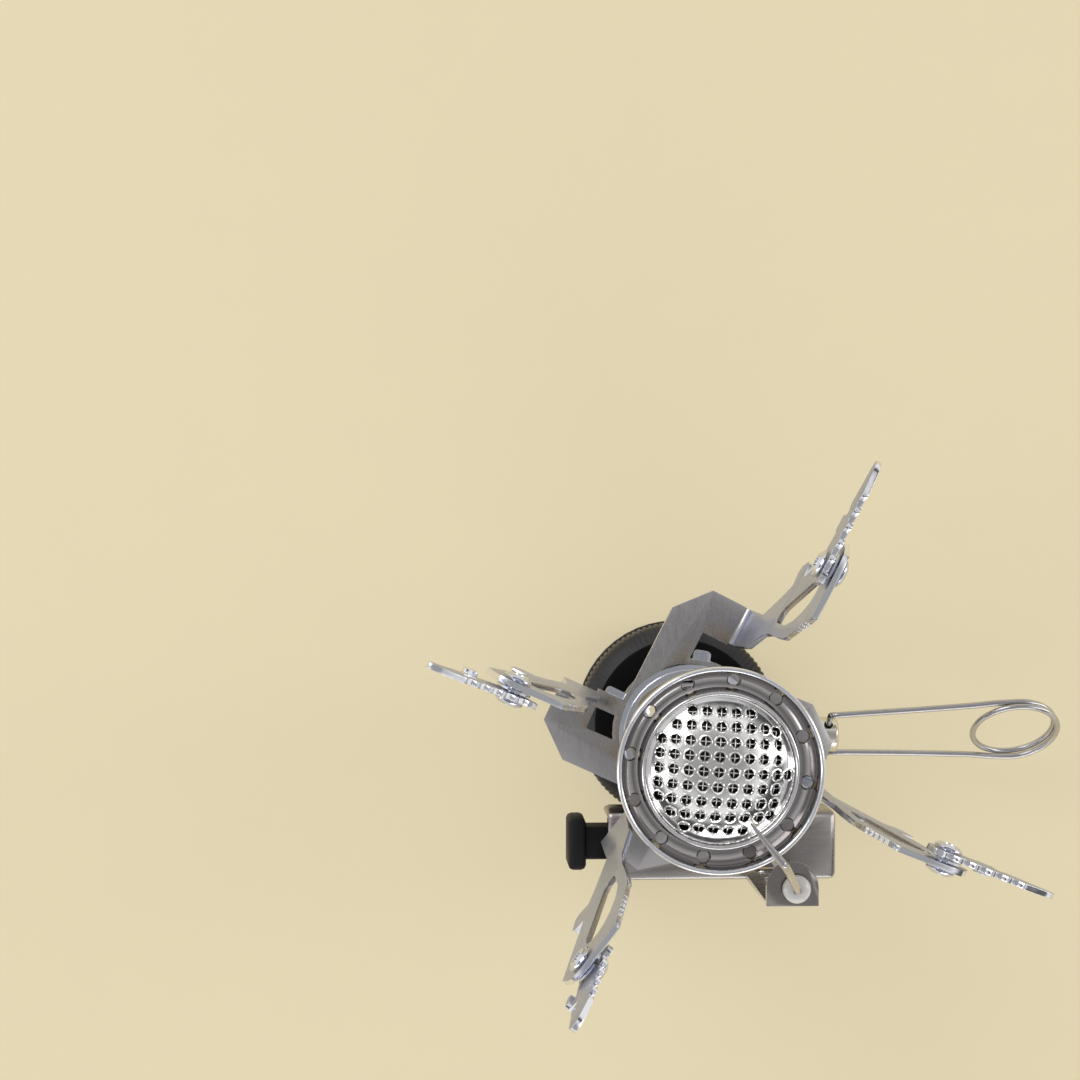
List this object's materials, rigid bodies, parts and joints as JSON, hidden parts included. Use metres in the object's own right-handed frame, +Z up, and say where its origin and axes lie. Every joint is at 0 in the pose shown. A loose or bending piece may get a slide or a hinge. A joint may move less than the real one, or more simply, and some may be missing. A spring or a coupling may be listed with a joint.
{
  "type": "canister gas stove",
  "caption": "Compact folding gas stove with a wire valve handle, push-button igniter, perforated dome burner and folding pot supports.",
  "frame": {"origin": "centre of the collar's underside, on the burner axis", "axes": "+Z up the burner axis; +X along the valve spindle, out to the wire handle"},
  "size_m": [0.1005, 0.073, 0.0863],
  "materials": {
    "stainless_steel": "satin brushed",
    "bright_steel": "polished",
    "black_anodised": "black anodised satin",
    "brass": "machined",
    "nickel_plate": "nickel plated satin",
    "black_rubber": "matte",
    "black_plastic": "matte",
    "white_ceramic": "glazed ceramic",
    "lead_sleeve": "matte sleeve",
    "screen_wire": "woven wire"
  },
  "bodies": {
    "burner_base": {"base_gasket": "black_rubber", "base_collar": "black_anodised", "thread_socket": "brass", "socket_o_ring": "black_rubber", "valve_pin": "brass", "valve_body": "black_anodised", "packing_nut": "nickel_plate", "spindle_o_ring": "black_rubber", "burner_pillar": "bright_steel", "gas_jet": "brass", "mixing_tube": "stainless_steel", "burner_cup": "bright_steel", "dome_ring": "bright_steel", "flame_screen": "screen_wire", "flame_dome": "bright_steel", "channel_bracket": "stainless_steel", "piezo_body": "black_plastic", "electrode_bracket": "stainless_steel", "electrode_ceramic": "white_ceramic", "electrode_wire": "bright_steel", "igniter_lead": "lead_sleeve", "stop_washer": "bright_steel", "spring_washer": "bright_steel", "retaining_clip": "bright_steel"},
    "spindle": {"valve_spindle": "brass", "handle_hub": "nickel_plate"},
    "handle": {"valve_handle_wire": "bright_steel"},
    "button": {"piezo_button": "black_plastic"},
    "upper_supports": {"support_bracket_upper": "stainless_steel", "tip_rivet_1": "bright_steel", "tip_washer_1": "bright_steel", "tip_rivet_2": "bright_steel", "tip_washer_2": "bright_steel"},
    "lower_supports": {"support_bracket_lower": "stainless_steel", "tip_rivet_3": "bright_steel", "tip_washer_3": "bright_steel", "tip_rivet_4": "bright_steel", "tip_washer_4": "bright_steel"},
    "tip_1": {"support_tip_1": "stainless_steel"},
    "tip_2": {"support_tip_2": "stainless_steel"},
    "tip_3": {"support_tip_3": "stainless_steel"},
    "tip_4": {"support_tip_4": "stainless_steel"}
  },
  "joints": [
    {"name": "upper_supports_swing", "type": "hinge", "parent": "burner_base", "child": "upper_supports", "pos_m": [0, 0, 0.0233], "axis": [0, 0, 1], "range_deg": [-50, 20]},
    {"name": "lower_supports_swing", "type": "hinge", "parent": "burner_base", "child": "lower_supports", "pos_m": [0, 0, 0.021], "axis": [0, 0, 1], "range_deg": [-15, 12]},
    {"name": "valve_spin", "type": "hinge", "parent": "burner_base", "child": "spindle", "pos_m": [0.02, -0.0014, 0.0116], "axis": [1, 0, 0], "range_deg": [0, 540]},
    {"name": "handle_fold", "type": "hinge", "parent": "spindle", "child": "handle", "pos_m": [0.023, -0.0014, 0.0116], "axis": [0, 0.6561, 0.7547], "range_deg": [-60, 60]},
    {"name": "button_press", "type": "slide", "parent": "burner_base", "child": "button", "axis": [1, 0, 0], "range_m": [0, 0.0028], "stiffness_N_per_m": 800},
    {"name": "tip_1_fold", "type": "hinge", "parent": "upper_supports", "child": "tip_1", "pos_m": [0.01422, 0.02766, 0.0718], "axis": [0.8894, -0.4571, 0], "range_deg": [0, 150]},
    {"name": "tip_2_fold", "type": "hinge", "parent": "upper_supports", "child": "tip_2", "pos_m": [-0.02832, 0.01285, 0.0718], "axis": [0.4131, 0.9107, 0], "range_deg": [-37, 113]},
    {"name": "tip_3_fold", "type": "hinge", "parent": "lower_supports", "child": "tip_3", "pos_m": [-0.01919, -0.02447, 0.0718], "axis": [-0.7869, 0.617, 0], "range_deg": [-66, 84]},
    {"name": "tip_4_fold", "type": "hinge", "parent": "lower_supports", "child": "tip_4", "pos_m": [0.02882, -0.0117, 0.0718], "axis": [-0.3762, -0.9265, 0], "range_deg": [0, 150]}
  ]
}
